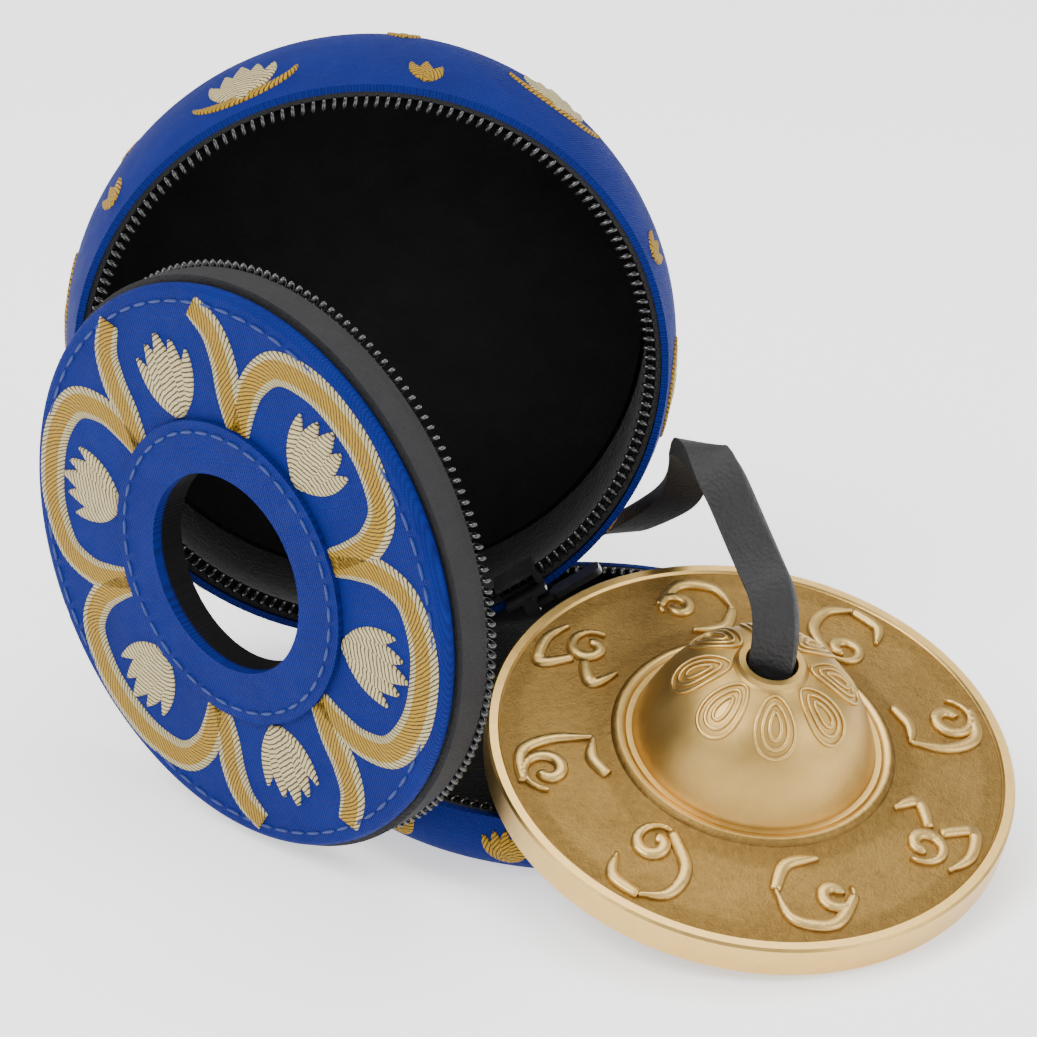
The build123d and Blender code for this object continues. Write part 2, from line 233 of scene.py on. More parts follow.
def on_wall(a, b, h):
    """a is the length round the case wall from its right, b the depth from the front opening."""
    share = (b - BODY_DEPTH / 2) / (BODY_DEPTH / 2)
    r = BODY_EDGE_R + BODY_BULGE * (1 - share * share) + h
    turn = a / BODY_EDGE_R
    return body_centre + Vector((r * cos(turn), b, r * sin(turn))) * MM


COVER_R, COVER_WALL_Z = 36.8, 5.6


def on_cover(a, b, h):
    """a is the length round the back cover, b the height above the table."""
    drop = (COVER_WALL_Z - b) if b < COVER_WALL_Z else 0.0
    rise = (b - COVER_WALL_Z) if b > COVER_WALL_Z else 0.0
    r = COVER_R - COVER_WALL_Z + sqrt(max(COVER_WALL_Z ** 2 - drop * drop, 0)) - rise * rise * 0.055 + h
    turn = a / COVER_R
    return Vector((r * cos(turn), r * sin(turn), b)) * MM


profile = []
rear_at = cymbal_at["rear"][0]
for step in range(17, 129):
    r = step * 0.25
    hit, spot, _, _ = nodes["cymbal_rear"].ray_cast(rear_at + Vector((r, 0, 30)) * MM, Vector((0, 0, -1)))
    if hit:
        profile.append((r, spot.z / MM))
arc = [0.0]
for (r0, z0), (r1, z1) in zip(profile, profile[1:]):
    arc.append(arc[-1] + sqrt((r1 - r0) ** 2 + (z1 - z0) ** 2))
print("cymbal profile", len(profile), "points, from", profile[0], "to", profile[-1])


def on_profile(along):
    """Radius, height and slope direction at a length along the profile from the collar."""
    along = min(max(along, 0.0), arc[-1] - 1e-4)
    k = max(i for i, v in enumerate(arc) if v <= along)
    k = min(k, len(arc) - 2)
    t = (along - arc[k]) / (arc[k + 1] - arc[k])
    (r0, z0), (r1, z1) = profile[k], profile[k + 1]
    return r0 + (r1 - r0) * t, z0 + (z1 - z0) * t, atan2(z1 - z0, r1 - r0)


BELL_SCALE = profile[0][0]


def on_bell(a, b, h):
    """a and b are flat, measured out from the axis along the metal's own surface."""
    flat = sqrt(a * a + b * b)
    r, z, slope = on_profile(flat - BELL_SCALE)
    r, z = r - sin(slope) * h, z + cos(slope) * h
    return rear_at + Vector((r * a / flat, r * b / flat, z)) * MM


arc_at_field = next(v for v, (r, z) in zip(arc, profile) if r >= 18.0)


def on_field(a, b, h):
    """a and b are the real radius and place on the nearly flat field."""
    flat = sqrt(a * a + b * b)
    r, z, slope = on_profile(arc_at_field + flat - 18.0)
    return rear_at + Vector((r * a / flat, r * b / flat, z + h)) * MM


# %% [markdown]
# ## Shader sums
# A material is a net of nodes, but its sums read better as sums. One small class wraps a socket,
# so that adding or multiplying two of them adds the Math node, and one method makes every other
# kind of node.

# %% Socket sums
class Value:
    def __init__(self, look, socket):
        self.look, self.socket = look, socket

    def __add__(self, other):
        return self.look.math("ADD", self, other)

    def __sub__(self, other):
        return self.look.math("SUBTRACT", self, other)

    def __rsub__(self, other):
        return self.look.math("SUBTRACT", other, self)

    def __mul__(self, other):
        return self.look.math("MULTIPLY", self, other)

    __radd__ = __add__
    __rmul__ = __mul__


class Look:
    """A material, and the few ways to add nodes to it."""

    def __init__(self, name, **constants):
        self.material = bpy.data.materials.new(name)
        self.material.use_nodes = True
        self.tree = self.material.node_tree
        self.shader = self.tree.nodes["Principled BSDF"]
        for socket, value in constants.items():
            self.shader.inputs[socket.replace("_", " ")].default_value = value
        self.place = self.node("ShaderNodeTexCoord", out="Object")

    def node(self, kind, settings=None, out=0, **values):
        made = self.tree.nodes.new(kind)
        for key, value in (settings or {}).items():
            if key == "stops":
                ramp = made.color_ramp.elements
                while len(ramp) < len(value):
                    ramp.new(0.5)
                for stop, (at, colour) in zip(ramp, value):
                    stop.position, stop.color = at, colour
            else:
                setattr(made, key, value)
        for key, value in values.items():
            where = made.inputs[int(key[1:])] if key[0] == "i" and key[1:].isdigit() else made.inputs[key]
            if isinstance(value, Value):
                self.tree.links.new(value.socket, where)
            else:
                where.default_value = value
        return Value(self, made.outputs[out])

    def math(self, operation, a, b=0.0, c=0.0):
        return self.node("ShaderNodeMath", {"operation": operation}, i0=a, i1=b, i2=c)

    def mix(self, share, a, b):
        return self.node("ShaderNodeMix", {"data_type": "RGBA"}, out=2, i0=share, i6=a, i7=b)

    def noise(self, size_mm, detail=3.0, where=None, roughness=0.55):
        return self.node("ShaderNodeTexNoise", out=0, Vector=where or self.place, Scale=1 / (size_mm * MM),
                         Detail=detail, Roughness=roughness)

    def along(self, direction):
        """Distance of the surface point along a direction, in metres."""
        return self.node("ShaderNodeVectorMath", {"operation": "DOT_PRODUCT"}, out="Value",
                         i0=self.place, i1=tuple(direction))

    def step(self, value, edge, soft):
        """0 below the edge and 1 above it, with a soft change."""
        made = self.node("ShaderNodeMapRange", {"interpolation_type": "SMOOTHSTEP"},
                         i0=value, i1=edge - soft, i2=edge + soft, i3=0.0, i4=1.0)
        return made

    def wave(self, value, pitch_mm):
        """Ribs from 0 to 1 with this pitch along a value in metres."""
        return self.math("SINE", value * (tau / (pitch_mm * MM))) * 0.5 + 0.5

    def colour(self, value):
        self.tree.links.new(value.socket, self.shader.inputs["Base Color"])

    def rough(self, value):
        self.tree.links.new(value.socket, self.shader.inputs["Roughness"])

    def bump(self, height, distance_mm, strength=1.0):
        normal = self.node("ShaderNodeBump", out="Normal", Height=height,
                           Distance=distance_mm * MM, Strength=strength)
        self.tree.links.new(normal.socket, self.shader.inputs["Normal"])


def paint(look, *pieces):
    for piece in pieces:
        piece = nodes[piece] if isinstance(piece, str) else piece
        piece.data.materials.clear()
        piece.data.materials.append(look.material)


# %% [markdown]
# ## Blue brocade
# The case is covered in a tight royal-blue twill. Its ribs run on a slant and every thread
# catches the light a little differently. The same weave is laid out flat on the lid, round the
# case wall and round the back cover.

# %% Brocade
BLUE_DEEP = (0.0001, 0.0025, 0.060, 1)
BLUE_HIGH = (0.0002, 0.014, 0.200, 1)


def brocade(a, b, look):
    ribs = look.wave(a + b * 0.7, 0.42)
    cross = look.wave(b - a * 0.35, 0.30)
    weave = ribs * 0.65 + cross * 0.35
    cloud = look.noise(9, 3)
    tint = look.mix(weave * 0.55 + cloud * 0.45, BLUE_DEEP, BLUE_HIGH)
    look.colour(tint)
    look.rough(0.62 + 0.2 * look.noise(2.5, 2) - 0.12 * ribs)
    look.bump(weave + 0.5 * look.noise(0.25, 2) + 1.6 * look.noise(7, 1), 0.10, 0.8)
    return look


def blue_look(name):
    return Look(name, Sheen_Weight=0.0, Specular_IOR_Level=0.12)


def round_axis(look, centre, first, second, radius_mm):
    """Length round an axis, from the two directions across it."""
    a = look.along(first) - centre.dot(Vector(first))
    b = look.along(second) - centre.dot(Vector(second))
    return look.math("ARCTAN2", b, a) * (radius_mm * MM)


lid_blue = blue_look("brocade_lid")
brocade(lid_blue.along(lid_right), lid_blue.along(lid_up), lid_blue)
wall_blue = blue_look("brocade_wall")
brocade(round_axis(wall_blue, body_centre, (1, 0, 0), (0, 0, 1), 39), wall_blue.along((0, 1, 0)), wall_blue)
cover_blue = blue_look("brocade_cover")
round_cover = round_axis(cover_blue, Vector((0, 0, 0)), (1, 0, 0), (0, 1, 0), 36)
brocade(round_cover, cover_blue.along((0, 0, 1)), cover_blue)
paint(lid_blue, "lid_face")
collar_look = blue_look("brocade_collar")
brocade(collar_look.along(lid_right), collar_look.along(lid_up), collar_look)
height = collar_look.along(lid_out) - lid_centre.dot(lid_out)
blue_socket = Value(collar_look, collar_look.shader.inputs["Base Color"].links[0].from_socket)
TUBE_TOP, TUBE_SOFT = 6.3 * MM, 0.3 * MM       # where the window's black tube meets the blue collar
above_tube = collar_look.step(height, TUBE_TOP, TUBE_SOFT)
collar_look.colour(collar_look.mix(above_tube, (0.002, 0.002, 0.0025, 1), blue_socket))
paint(collar_look, "window_collar")
paint(wall_blue, "body_shell")
paint(cover_blue, "back_cover_shell")
print("brocade on lid, wall and cover")

# %% [markdown]
# ## Velvet, tape and boards
# The inside is short black velvet, which is dark face on and pale at its edges. The zip tape and
# the lid's side band are plain woven black.

# %% Black cloths
velvet = Look("black_velvet", Sheen_Weight=0.35, Sheen_Roughness=0.35, Specular_IOR_Level=0.1)
pile = velvet.noise(0.5, 4)
VELVET_DEEP = (0.0015, 0.0015, 0.0018, 1)
VELVET_HIGH = (0.010, 0.010, 0.011, 1)
velvet.colour(velvet.mix(velvet.noise(5, 4) * 0.6 + pile * 0.4, VELVET_DEEP, VELVET_HIGH))
velvet.rough(0.85 + 0.15 * pile)
velvet.bump(pile + 0.8 * velvet.noise(3, 2), 0.25, 0.7)

tape = Look("black_tape", Specular_IOR_Level=0.3)
warp = tape.noise(0.35, 3)
TAPE_DEEP = (0.004, 0.004, 0.0045, 1)
TAPE_HIGH = (0.030, 0.030, 0.032, 1)
tape.colour(tape.mix(warp * 0.7 + tape.noise(3, 2) * 0.3, TAPE_DEEP, TAPE_HIGH))
tape.rough(0.6 + 0.3 * warp)
tape.bump(warp + 0.6 * tape.noise(1.2, 2), 0.22, 0.9)

paint(velvet, "front_lining", "rear_lining", "divider", "lid_lining", "back_cover_lining")
paint(tape, "front_tape", "rear_tape", "back_cover_tape", "lid_tape", "lid_gusset", "hinge_strip",
      "lid_board", "body_board", "back_cover_board")
print("black cloths done")

# %% [markdown]
# ## Zip coils
# A coil zip is a nylon wire wound into a row of small loops along the tape. One loop is made
# from a torus, pulled long across the tape, and copied round each ring.

# %% One loop of the coil
bpy.ops.object.select_all(action="DESELECT")
LOOP_R, WIRE_R = 0.56 * MM, 0.27 * MM
bpy.ops.mesh.primitive_torus_add(
    major_segments=12, minor_segments=6, major_radius=LOOP_R, minor_radius=WIRE_R)
loop_piece = bpy.context.object
bpy.ops.object.mode_set(mode="EDIT")
bpy.ops.mesh.select_all(action="SELECT")
bpy.ops.transform.resize(value=(1.2, 0.72, 1.0))
bpy.ops.transform.rotate(value=radians(90), orient_axis="X", center_override=(0, 0, 0))
bpy.ops.transform.rotate(value=radians(78), orient_axis="Z", center_override=(0, 0, 0))
bpy.ops.object.mode_set(mode="OBJECT")
loop_verts = [v.co.copy() for v in loop_piece.data.vertices]
loop_faces = [tuple(p.vertices) for p in loop_piece.data.polygons]
size = [round((max(v[k] for v in loop_verts) - min(v[k] for v in loop_verts)) / MM, 2) for k in range(3)]
bpy.data.objects.remove(loop_piece)
print("one loop", size, "mm,", len(loop_faces), "faces")

# %% Coils round each ring
nylon = Look("black_nylon", Roughness=0.22, Specular_IOR_Level=0.75, Coat_Weight=0.35, Coat_Roughness=0.2)
nylon.colour(nylon.mix(nylon.noise(4, 2), (0.004, 0.004, 0.0045, 1), (0.014, 0.014, 0.015, 1)))
nylon.bump(nylon.noise(0.3, 2), 0.03, 0.6)
LOOP_PITCH = 1.30
ZIP_R = 35.6              # body and lid
COVER_ZIP_R = 34.0        # the back cover, whose edge curls in


def coil(name, centre, first, second, axis, radius_mm, node, body):
    count = round(tau * radius_mm / LOOP_PITCH)
    verts, faces = [], []
    for k in range(count):
        turn = tau * k / count
        out = first * cos(turn) + second * sin(turn)
        ahead = second * cos(turn) - first * sin(turn)
        place = centre + out * (radius_mm * MM)
        start = len(verts)
        verts += [place + ahead * v.x + out * v.y + axis * v.z for v in loop_verts]
        faces += [tuple(start + i for i in face) for face in loop_faces]
    piece = new_piece(name, verts, faces)
    paint(nylon, piece)
    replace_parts(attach(piece, body), node)
    return count


def middle(node):
    lo, hi = (Vector(c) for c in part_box(node))
    return (lo + hi) / 2


X, Y, Z = Vector((1, 0, 0)), Vector((0, 1, 0)), Vector((0, 0, 1))
print("front coil", coil("front_coil_loops", middle("front_coil"), X, Z, -Y, ZIP_R,
                         "front_coil", "case_body"))
print("rear coil", coil("rear_coil_loops", middle("rear_coil"), X, Z, -Y, ZIP_R, "rear_coil", "case_body"))
print("lid coil", coil("lid_coil_loops", lid_centre, lid_right, lid_up, lid_out, ZIP_R,
                       "lid_coil", "window_lid"))
print("cover coil", coil("cover_coil_loops", middle("back_cover_coil"), X, Y, Z, COVER_ZIP_R,
                         "back_cover_coil", "back_cover"))

# %% [markdown]
# ## Satin-stitch embroidery
# Gold petals frame cream lotus buds. Each band is laid thread by thread across its width, with a
# cream edge and fine dark threads, so the material follows the strip's own length and width.

# %% Gold and cream thread
def thread(name, light, dark, edge, half_mm, slant):
    look = Look(name, Specular_IOR_Level=0.3)
    uv = look.node("ShaderNodeUVMap", {"uv_map": "along_across"})
    parts = uv.look.tree.nodes.new("ShaderNodeSeparateXYZ")
    look.tree.links.new(uv.socket, parts.inputs[0])
    run, across = Value(look, parts.outputs[0]), Value(look, parts.outputs[1])
    side = look.math("ABSOLUTE", across - 10 * MM)
    wobble = look.noise(0.8, 2) * (0.35 * MM)
    hatch = look.wave(run + across * slant + wobble, 0.62)
    dark_line = look.step(hatch, 0.78, 0.10)
    fine = look.wave(run + across * slant, 0.16)
    border = look.step(side + wobble * 0.5, half_mm * MM, 0.12 * MM)
    body = look.mix(look.noise(1.5, 2), light, edge)
    cloth = look.mix(border, light, edge) if edge != light else body
    look.colour(look.mix(dark_line * 0.92, cloth, dark))
    look.rough(0.45 + 0.3 * fine)
    look.bump(fine * 0.5 + (1 - dark_line), 0.14, 0.9)
    return look


CREAM = (0.60, 0.50, 0.25, 1)
GOLD = (0.46, 0.26, 0.004, 1)
BROWN = (0.022, 0.010, 0.003, 1)
gold_thread = thread("gold_thread", GOLD, BROWN, CREAM, 1.25, 0.9)
cream_thread = thread("cream_thread", CREAM, BROWN, CREAM, 9, 0.35)

# %% Petals round the window
PETALS = (130, 70, 10, -50, -110, -170)
OPEN_PETALS = (130, -50)
closed_shape = ((-29.5, 19.2), (-28.5, 22.5), (-26, 26.5), (-20, 30.2), (-10, 31.8), (0, 32.1),
                (10, 31.8), (20, 30.2), (26, 26.5), (28.5, 22.5), (29.5, 19.2))
open_shape = ((-29, 19.2), (-25, 23), (-23, 27), (-19.5, 30.5), (-14, 33.0))


def band_on_lid(shape, turn, flip=1):
    line = smooth_line([polar(r, turn + flip * a) for a, r in shape], 6)
    n = len(line) - 1
    widths = [3.4 + 1.3 * sin(pi * i / n) for i in range(len(line))]
    return strip_parts(line, widths, 0.26, on_lid)


bands = []
for turn in PETALS:
    if turn in OPEN_PETALS:
        bands += [band_on_lid(open_shape, turn), band_on_lid(open_shape, turn, -1)]
    else:
        bands.append(band_on_lid(closed_shape, turn))
gold_petals = joined("gold_petals", bands)
paint(gold_thread, gold_petals)
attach(gold_petals, "window_lid")
print(len(bands), "gold bands")


# %% Lotus buds
def leaf(start, length, turn_degrees, width, surface, bend=0.0, height=0.22):
    """A pointed leaf drawn as one strip that swells and closes."""
    line, widths = [], []
    for i in range(13):
        t = i / 12
        a = radians(turn_degrees + bend * t)
        line.append((start[0] + length * t * cos(a), start[1] + length * t * sin(a)))
        widths.append(width * (sin(pi * min(t * 0.86 + 0.12, 1)) ** 0.8) + 0.12)
    return strip_parts(line, widths, height, surface)


def bud(centre, turn, size, surface):
    """A lotus bud that points along turn: a tall middle leaf between two pairs of side leaves."""
    def at(out, side):
        a = radians(turn)
        return centre[0] + out * cos(a) - side * sin(a), centre[1] + out * sin(a) + side * cos(a)
    found = []
    for side in (-1, 1):
        low_foot = at(-0.42 * size, side * 0.10 * size)
        high_foot = at(-0.46 * size, side * 0.06 * size)
        found.append(leaf(low_foot, 0.86 * size, turn + side * 38, 0.27 * size, surface, -side * 10))
        found.append(leaf(high_foot, 0.98 * size, turn + side * 17, 0.34 * size, surface, -side * 6, 0.27))
    found.append(leaf(at(-0.50 * size, 0), 1.12 * size, turn, 0.40 * size, surface, 0, 0.34))
    return found


BUD_RING_R, BUD_SIZE = 24.0, 9.2
lid_buds = []
for turn in PETALS:
    lid_buds += bud(polar(BUD_RING_R, turn), turn, BUD_SIZE, on_lid)
lotus_on_lid = joined("lotus_buds", lid_buds)
paint(cream_thread, lotus_on_lid)
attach(lotus_on_lid, "window_lid")
print(len(lid_buds), "leaves on the lid")

# %% Motifs on the wall and on the back cover
def turn_mm(degrees_round, radius):
    return radians(degrees_round) * radius


# Each motif's place: degrees round the wall and depth from the front opening.
LOTUS_ON_WALL = ((113, 7.6), (53, 14.5), (-7, 7.6), (-67, 14.5), (-127, 7.6), (173, 14.5))
GOLD_NEAR_FRONT = ((79, 3.6), (145, 4.6), (22, 4.0), (-38, 4.0), (-97, 4.2), (-158, 4.2))
GOLD_NEAR_BACK = ((83, 18.5), (23, 20), (-37, 19.5), (-97, 19.5), (-157, 19.5), (143, 19.5))
CUP_R, CUP_H = 7.0, 4.4    # the gold cup under each lotus
wall_cream, wall_gold = [], []
for centre_turn, depth in LOTUS_ON_WALL:
    centre = (turn_mm(centre_turn, BODY_EDGE_R), depth)
    wall_cream += bud((centre[0], centre[1] - 1.0), 90, 8.4, on_wall)
    for side in (-1, 1):
        wall_cream += [leaf((centre[0], centre[1] - 3.6), 7.0, 90 + side * 66, 2.4, on_wall, -side * 30)]
    cup = [(centre[0] + CUP_R * cos(radians(a)), centre[1] - 0.4 + CUP_H * sin(radians(a)))
           for a in range(188, 353, 11)]
    cup_widths = [0.5 + 1.1 * sin(pi * i / (len(cup) - 1)) for i in range(len(cup))]
    wall_gold.append(strip_parts(cup, cup_widths, 0.28, on_wall))
for centre_turn, depth in GOLD_NEAR_FRONT + GOLD_NEAR_BACK:
    centre = (turn_mm(centre_turn, BODY_EDGE_R), depth)
    for side in (-1, 0, 1):
        foot = (centre[0] + side * 0.6, centre[1] - 1.4)
        wall_gold.append(leaf(foot, 4.4, 90 + side * 52, 1.9, on_wall, -side * 18))
for label, parts, look in (("wall_lotus", wall_cream, cream_thread), ("wall_gold", wall_gold, gold_thread)):
    piece = joined(label, parts)
    paint(look, piece)
    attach(piece, "case_body")
cover_gold = []
for k in range(15):
    turn = -108 + 24 * k
    centre = (turn_mm(turn, COVER_R), 3.0 if k % 2 else 3.6)
    for tilt in (-62, -30, 0, 30, 62):
        cover_gold.append(leaf((centre[0], centre[1] - 1.0), 4.6, 90 + tilt, 1.7, on_cover, -tilt * 0.4))
cover_fans = joined("cover_gold", cover_gold)
paint(gold_thread, cover_fans)
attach(cover_fans, "back_cover")
print(len(wall_cream), "cream and", len(wall_gold), "gold leaves on the wall")
print(len(cover_gold), "gold leaves on the cover")

# %% [markdown]
# ## Stitches
# The face and the collar are sewn down with a plain running stitch in dark blue thread. One
# stitch is a small rounded strip, and it is copied round each seam.

# %% Running stitches
stitch_thread = Look("seam_thread", Roughness=0.6)
SEAM_DEEP = (0.002, 0.010, 0.09, 1)
SEAM_HIGH = (0.01, 0.035, 0.22, 1)
stitch_thread.colour(stitch_thread.mix(stitch_thread.noise(0.6, 2), SEAM_DEEP, SEAM_HIGH))
stitch_thread.bump(stitch_thread.noise(0.2, 2), 0.05, 0.8)


def stitches(name, radius, length, gap, surface, body):
    count = round(tau * radius / (length + gap))
    share = length / (length + gap)
    parts = []
    for k in range(count):
        line = [polar(radius, 360 / count * (k + share * i / 4)) for i in range(5)]
        parts.append(strip_parts(line, (0.22, 0.42, 0.46, 0.42, 0.22), 0.20, surface))
    piece = joined(name, parts)
    paint(stitch_thread, piece)
    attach(piece, body)
    return count


FACE_SEAM_R, COLLAR_SEAM_R = 33.4, 17.7
print("face seam", stitches("face_seam", FACE_SEAM_R, 2.1, 0.8, on_lid, "window_lid"))
print("collar seam", stitches("collar_seam", COLLAR_SEAM_R, 1.9, 0.8, on_collar, "window_lid"))

# %% [markdown]
# ## Brass
# Each cymbal is cast, turned and chemically darkened. The lip and the band are rubbed bright,
# and the field keeps a fine sandy skin with a brown stain in its lows.

# %% Brass looks
def brass(name, at, axis):
    look = Look(name, Metallic=1.0)
    away = look.node("ShaderNodeVectorMath", {"operation": "SUBTRACT"}, i0=look.place, i1=tuple(at))
    side = look.node("ShaderNodeVectorMath", {"operation": "CROSS_PRODUCT"}, i0=away, i1=tuple(axis))
    r = look.node("ShaderNodeVectorMath", {"operation": "LENGTH"}, out="Value", i0=side)
    field = look.step(r, 16.8 * MM, 0.5 * MM) * (1 - look.step(r, 30.9 * MM, 0.15 * MM))
    bell = 1 - look.step(r, 15.4 * MM, 1.2 * MM)
    sand = look.noise(0.32, 3)
    grain = look.noise(0.9, 3)
    stain = look.noise(11, 4)
    fine = look.noise(2.2, 4)
    edge_dirt = look.step(r, 29.3 * MM, 1.6 * MM) * field
    foot_dirt = field * (1 - look.step(r, 19.0 * MM, 2.0 * MM))
    dark = field * (0.45 + 0.6 * stain) * 0.95 + edge_dirt * 0.4 + foot_dirt * 0.5 + bell * stain * 0.6
    bright = look.mix(fine, (0.60, 0.37, 0.10, 1), (0.72, 0.49, 0.17, 1))
    brown = look.mix(grain, (0.12, 0.066, 0.016, 1), (0.30, 0.18, 0.050, 1))
    look.colour(look.mix(look.math("MINIMUM", dark + (1 - sand) * field * 0.25, 0.95), bright, brown))
    look.rough(0.26 + 0.22 * field + 0.14 * bell + 0.10 * fine)
    look.bump(sand * field * 1.4 + grain * (0.2 + field) * 0.9 + fine * 0.25, 0.10, 0.75)
    return look


def relief_brass():
    look = Look("relief_brass", Metallic=1.0)
    fine = look.noise(1.2, 4)
    mottle = look.noise(0.4, 3) * 0.5 + fine * 0.5
    look.colour(look.mix(mottle, (0.44, 0.27, 0.075, 1), (0.80, 0.56, 0.20, 1)))
    look.rough(0.28 + 0.2 * fine)
    look.bump(look.noise(0.5, 3), 0.06, 0.7)
    return look


paint(brass("brass_front", *cymbal_at["front"]), "cymbal_front")
paint(brass("brass_rear", *cymbal_at["rear"]), "cymbal_rear")
relief = relief_brass()

# %% [markdown]
# ## Cast ornament
# Eight scrolls stand on the field and eight flower petals lie round the strap hole. They are
# drawn once on the cymbal that lies flat, then copied and turned on to the leaning one.

# %% Scrolls and petals
def spiral(centre, start_r, end_r, start_deg, sweep_deg, steps=22):
    found = []
    for i in range(steps + 1):
        t = i / steps
        r = start_r + (end_r - start_r) * t
        a = radians(start_deg + sweep_deg * t)
        found.append((centre[0] + r * cos(a), centre[1] + r * sin(a)))
    return found


def scroll_lines(kind):
    """Lines of one ornament, in millimetres about its own middle, +X outwards from the bell."""
    if kind == 0:
        return [spiral((1.6, 0.8), 0.7, 2.6, 20, 420),
                smooth_line([(4.1, 1.9), (3.4, -1.8), (0.2, -3.0), (-3.6, -2.2)], 7),
                smooth_line([(-3.8, 2.6), (-2.9, 0.2), (-3.6, -2.2)], 6)]
    if kind == 1:
        return [spiral((-1.8, -1.2), 0.6, 2.1, 200, -400),
                smooth_line([(-3.7, -0.4), (-1.0, 2.6), (2.4, 2.8), (4.2, 0.6)], 7),
                smooth_line([(4.2, 0.6), (3.6, -2.4), (1.2, -3.4)], 7)]
    if kind == 2:
        return [spiral((0.4, 2.0), 0.5, 1.9, 90, 380),
                smooth_line([(0.8, 3.8), (3.6, 1.0), (2.6, -2.6), (-0.8, -3.4)], 7),
                smooth_line([(-0.8, -3.4), (-3.4, -1.6), (-3.6, 1.6)], 7)]
    return [spiral((0.2, -1.6), 0.6, 2.3, -60, -400), smooth_line([(-0.4, 0.6), (-2.6, 2.8), (-4.0, 0.4)], 7),
            smooth_line([(0.8, 0.7), (3.2, 3.0), (4.3, -0.2), (3.4, -3.0)], 7)]


SCROLL_RING_R = 24.2      # the scrolls' middles stand on this circle
SCROLL_SIZE = 1.28        # times the drawing above
SCROLL_STROKE, SCROLL_RISE = 1.85, 0.60


def scrolls():
    parts = []
    for k in range(8):
        turn = radians(45 * k + 12)
        cx, cy = SCROLL_RING_R * cos(turn), SCROLL_RING_R * sin(turn)
        for line in scroll_lines(k % 4):
            laid = [(cx + SCROLL_SIZE * (a * cos(turn) - b * sin(turn)),
                     cy + SCROLL_SIZE * (a * sin(turn) + b * cos(turn))) for a, b in line]
            n = len(laid) - 1
            widths = [SCROLL_STROKE * (0.35 + 0.65 * sin(pi * min(0.12 + i / n, 1.0)) ** 0.5)
                      for i in range(len(laid))]
            parts.append(strip_parts(laid, widths, SCROLL_RISE, on_field))
    return parts


def petal_loops():
    parts = []
    for k in range(8):
        turn = radians(45 * k)
        for inset, half in ((0.0, 3.05), (1.1, 1.95), (2.2, 0.9)):
            loop = []
            for i in range(28):
                a = tau * i / 28
                out = 8.9 + (3.9 - inset) * cos(a)
                side = half * sin(a) * (0.82 + 0.25 * cos(a))
                loop.append((out * cos(turn) - side * sin(turn), out * sin(turn) + side * cos(turn)))
            parts.append(strip_parts(loop, [0.55] * 28, 0.30, on_bell, closed=True))
    return parts


rear_relief = joined("rear_relief", scrolls() + petal_loops())
paint(relief, rear_relief)
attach(rear_relief, "rear_cymbal")
front_relief = rear_relief.copy()
front_relief.data = rear_relief.data.copy()
front_relief.name = "front_relief"
bpy.context.scene.collection.objects.link(front_relief)
front_point, front_axis = cymbal_at["front"]
tip = Z.rotation_difference(front_axis).to_matrix().to_4x4()
move = Matrix.Translation(front_point) @ tip @ Matrix.Translation(-rear_at)
front_relief.data.transform(move)
front_relief.parent = None
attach(front_relief, "front_cymbal")
print("relief faces", len(rear_relief.data.polygons), "on each cymbal")

# %% [markdown]
# ## Leather strap
# The strap is cut from thick waxed leather: smooth black faces, and raw fibrous edges. Its flat
# section keeps its wide side level across the fold.

# %% Strap and knots
leather = Look("black_leather", Specular_IOR_Level=0.4)
PORE_SIZE = 0.55 * MM
pores = leather.node("ShaderNodeTexVoronoi", {"feature": "F1"}, out="Distance",
                     Vector=leather.place, Scale=1 / PORE_SIZE)
fibre = leather.noise(0.3, 4)
LEATHER_DEEP = (0.004, 0.004, 0.0045, 1)
LEATHER_HIGH = (0.022, 0.022, 0.024, 1)
leather.colour(leather.mix(leather.noise(2.5, 4) * 0.6 + fibre * 0.4, LEATHER_DEEP, LEATHER_HIGH))
leather.rough(0.48 + 0.25 * fibre)
leather.bump(pores * 0.8 + fibre * 0.6 + leather.noise(2.2, 2), 0.16, 0.8)

STRAP_W, STRAP_T = 5.4, 2.1
section = [(-0.5, -0.30), (-0.47, -0.5), (0.47, -0.5), (0.5, -0.30),
           (0.5, 0.30), (0.47, 0.5), (-0.47, 0.5), (-0.5, 0.30)]
guides = [(0.0, Vector((0.93, -0.36, 0))), (0.18, Vector((0.90, -0.43, 0))), (0.30, Vector((0.88, -0.47, 0))),
          (0.5, Vector((0.97, -0.20, 0.1))), (0.75, Vector((0.86, 0.50, 0))), (1.0, Vector((0.86, 0.50, 0)))]


def guide_at(share):
    for (s0, g0), (s1, g1) in zip(guides, guides[1:]):
        if share <= s1:
            return g0.lerp(g1, (share - s0) / (s1 - s0))
    return guides[-1][1]


strap_verts, strap_uvs, strap_faces = [], [], []
run = 0.0
for i, spot in enumerate(strap_path):
    ahead = (strap_path[min(i + 1, len(strap_path) - 1)] - strap_path[max(i - 1, 0)]).normalized()
    if i:
        run += (spot - strap_path[i - 1]).length
    wide = guide_at(run / strap_length)
    wide = (wide - ahead * wide.dot(ahead)).normalized()
    thick = ahead.cross(wide)
    for k, (a, b) in enumerate(section):
        strap_verts.append(spot + wide * (a * STRAP_W * MM) + thick * (b * STRAP_T * MM))
        strap_uvs.append((run, a * STRAP_W * MM))
ring = len(section)
for i in range(len(strap_path) - 1):
    for k in range(ring):
        p, q = i * ring + k, i * ring + (k + 1) % ring
        strap_faces.append((p, q, q + ring, p + ring))
strap_faces.append(tuple(reversed(range(ring))))
strap_faces.append(tuple(range((len(strap_path) - 1) * ring, len(strap_path) * ring)))
strap = new_piece("leather_strap", strap_verts, strap_faces, strap_uvs)
bpy.ops.object.select_all(action="DESELECT")
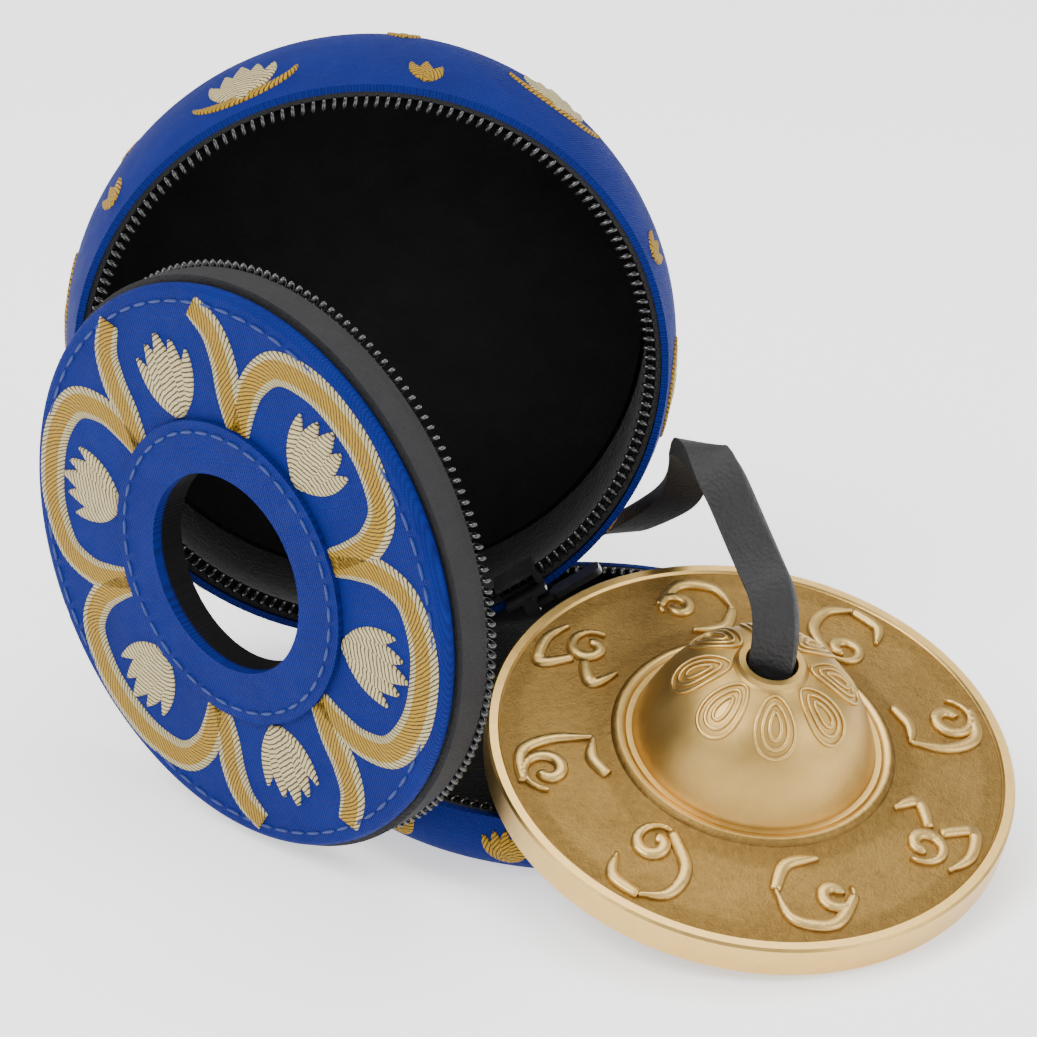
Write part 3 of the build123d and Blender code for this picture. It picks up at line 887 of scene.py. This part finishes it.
strap.select_set(True)
bpy.context.view_layer.objects.active = strap
bpy.ops.object.shade_smooth_by_angle(angle=radians(40))
paint(leather, strap, "knot_front", "knot_rear")
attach(strap, "pair_strap")
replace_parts(strap, "strap")
print("strap mesh", len(strap.data.polygons), "faces")

# %% [markdown]
# ## Sliders
# The sliders and their pulls are small castings under black enamel, worn at the edges.

# %% Enamel
enamel = Look("black_enamel", Specular_IOR_Level=0.6, Coat_Weight=0.4, Coat_Roughness=0.15)
wear = enamel.noise(1.5, 4)
enamel.colour(enamel.mix(wear, (0.006, 0.006, 0.007, 1), (0.03, 0.03, 0.032, 1)))
enamel.rough(0.25 + 0.25 * wear)
enamel.bump(enamel.noise(0.6, 2), 0.03, 0.5)
paint(enamel, "front_slider", "front_pull", "rear_slider", "rear_pull")
print("sliders done")

# %% [markdown]
# ## Studio
# A pale floor, a white surround and three soft lights. The main light stands high on the left,
# so the brass lip shows a long bright line. The floor glows faintly, as a white sheet does when
# it is lit from behind.

# %% Floor and lights
bpy.ops.object.select_all(action="DESELECT")
bpy.ops.mesh.primitive_plane_add(size=6, location=(0, 0, -0.0004))
floor = bpy.context.object
floor.name = "studio_floor"
floor.data.transform(Matrix.Translation(floor.location))
floor.location = (0, 0, 0)
pale = Look("studio_white", Roughness=0.8, Specular_IOR_Level=0.1, Base_Color=(0.98, 0.98, 0.985, 1),
            Emission_Color=(1, 1, 1, 1), Emission_Strength=0.9)
floor.data.materials.append(pale.material)
world = bpy.data.worlds.new("studio_air")
bpy.context.scene.world = world
world.use_nodes = True
world.node_tree.nodes["Background"].inputs[0].default_value = (1, 1, 1, 1)
world.node_tree.nodes["Background"].inputs[1].default_value = 0.8


def soft_light(name, at, aim, size, power):
    bpy.ops.object.light_add(type="AREA", location=at)
    light = bpy.context.object
    light.name = name
    light.data.shape = "RECTANGLE"
    light.data.size, light.data.size_y = size
    light.data.energy = power
    light.rotation_euler = (Vector(aim) - Vector(at)).to_track_quat("-Z", "Y").to_euler()


soft_light("key_light", (-0.45, -0.35, 0.75), (0, 0, 0.03), (0.5, 0.5), 7.5)
soft_light("fill_light", (0.65, -0.45, 0.45), (0, 0, 0.03), (0.6, 0.5), 3.5)
soft_light("top_light", (0.05, 0.25, 0.9), (0, 0, 0.03), (0.7, 0.5), 5.0)
print("studio ready")
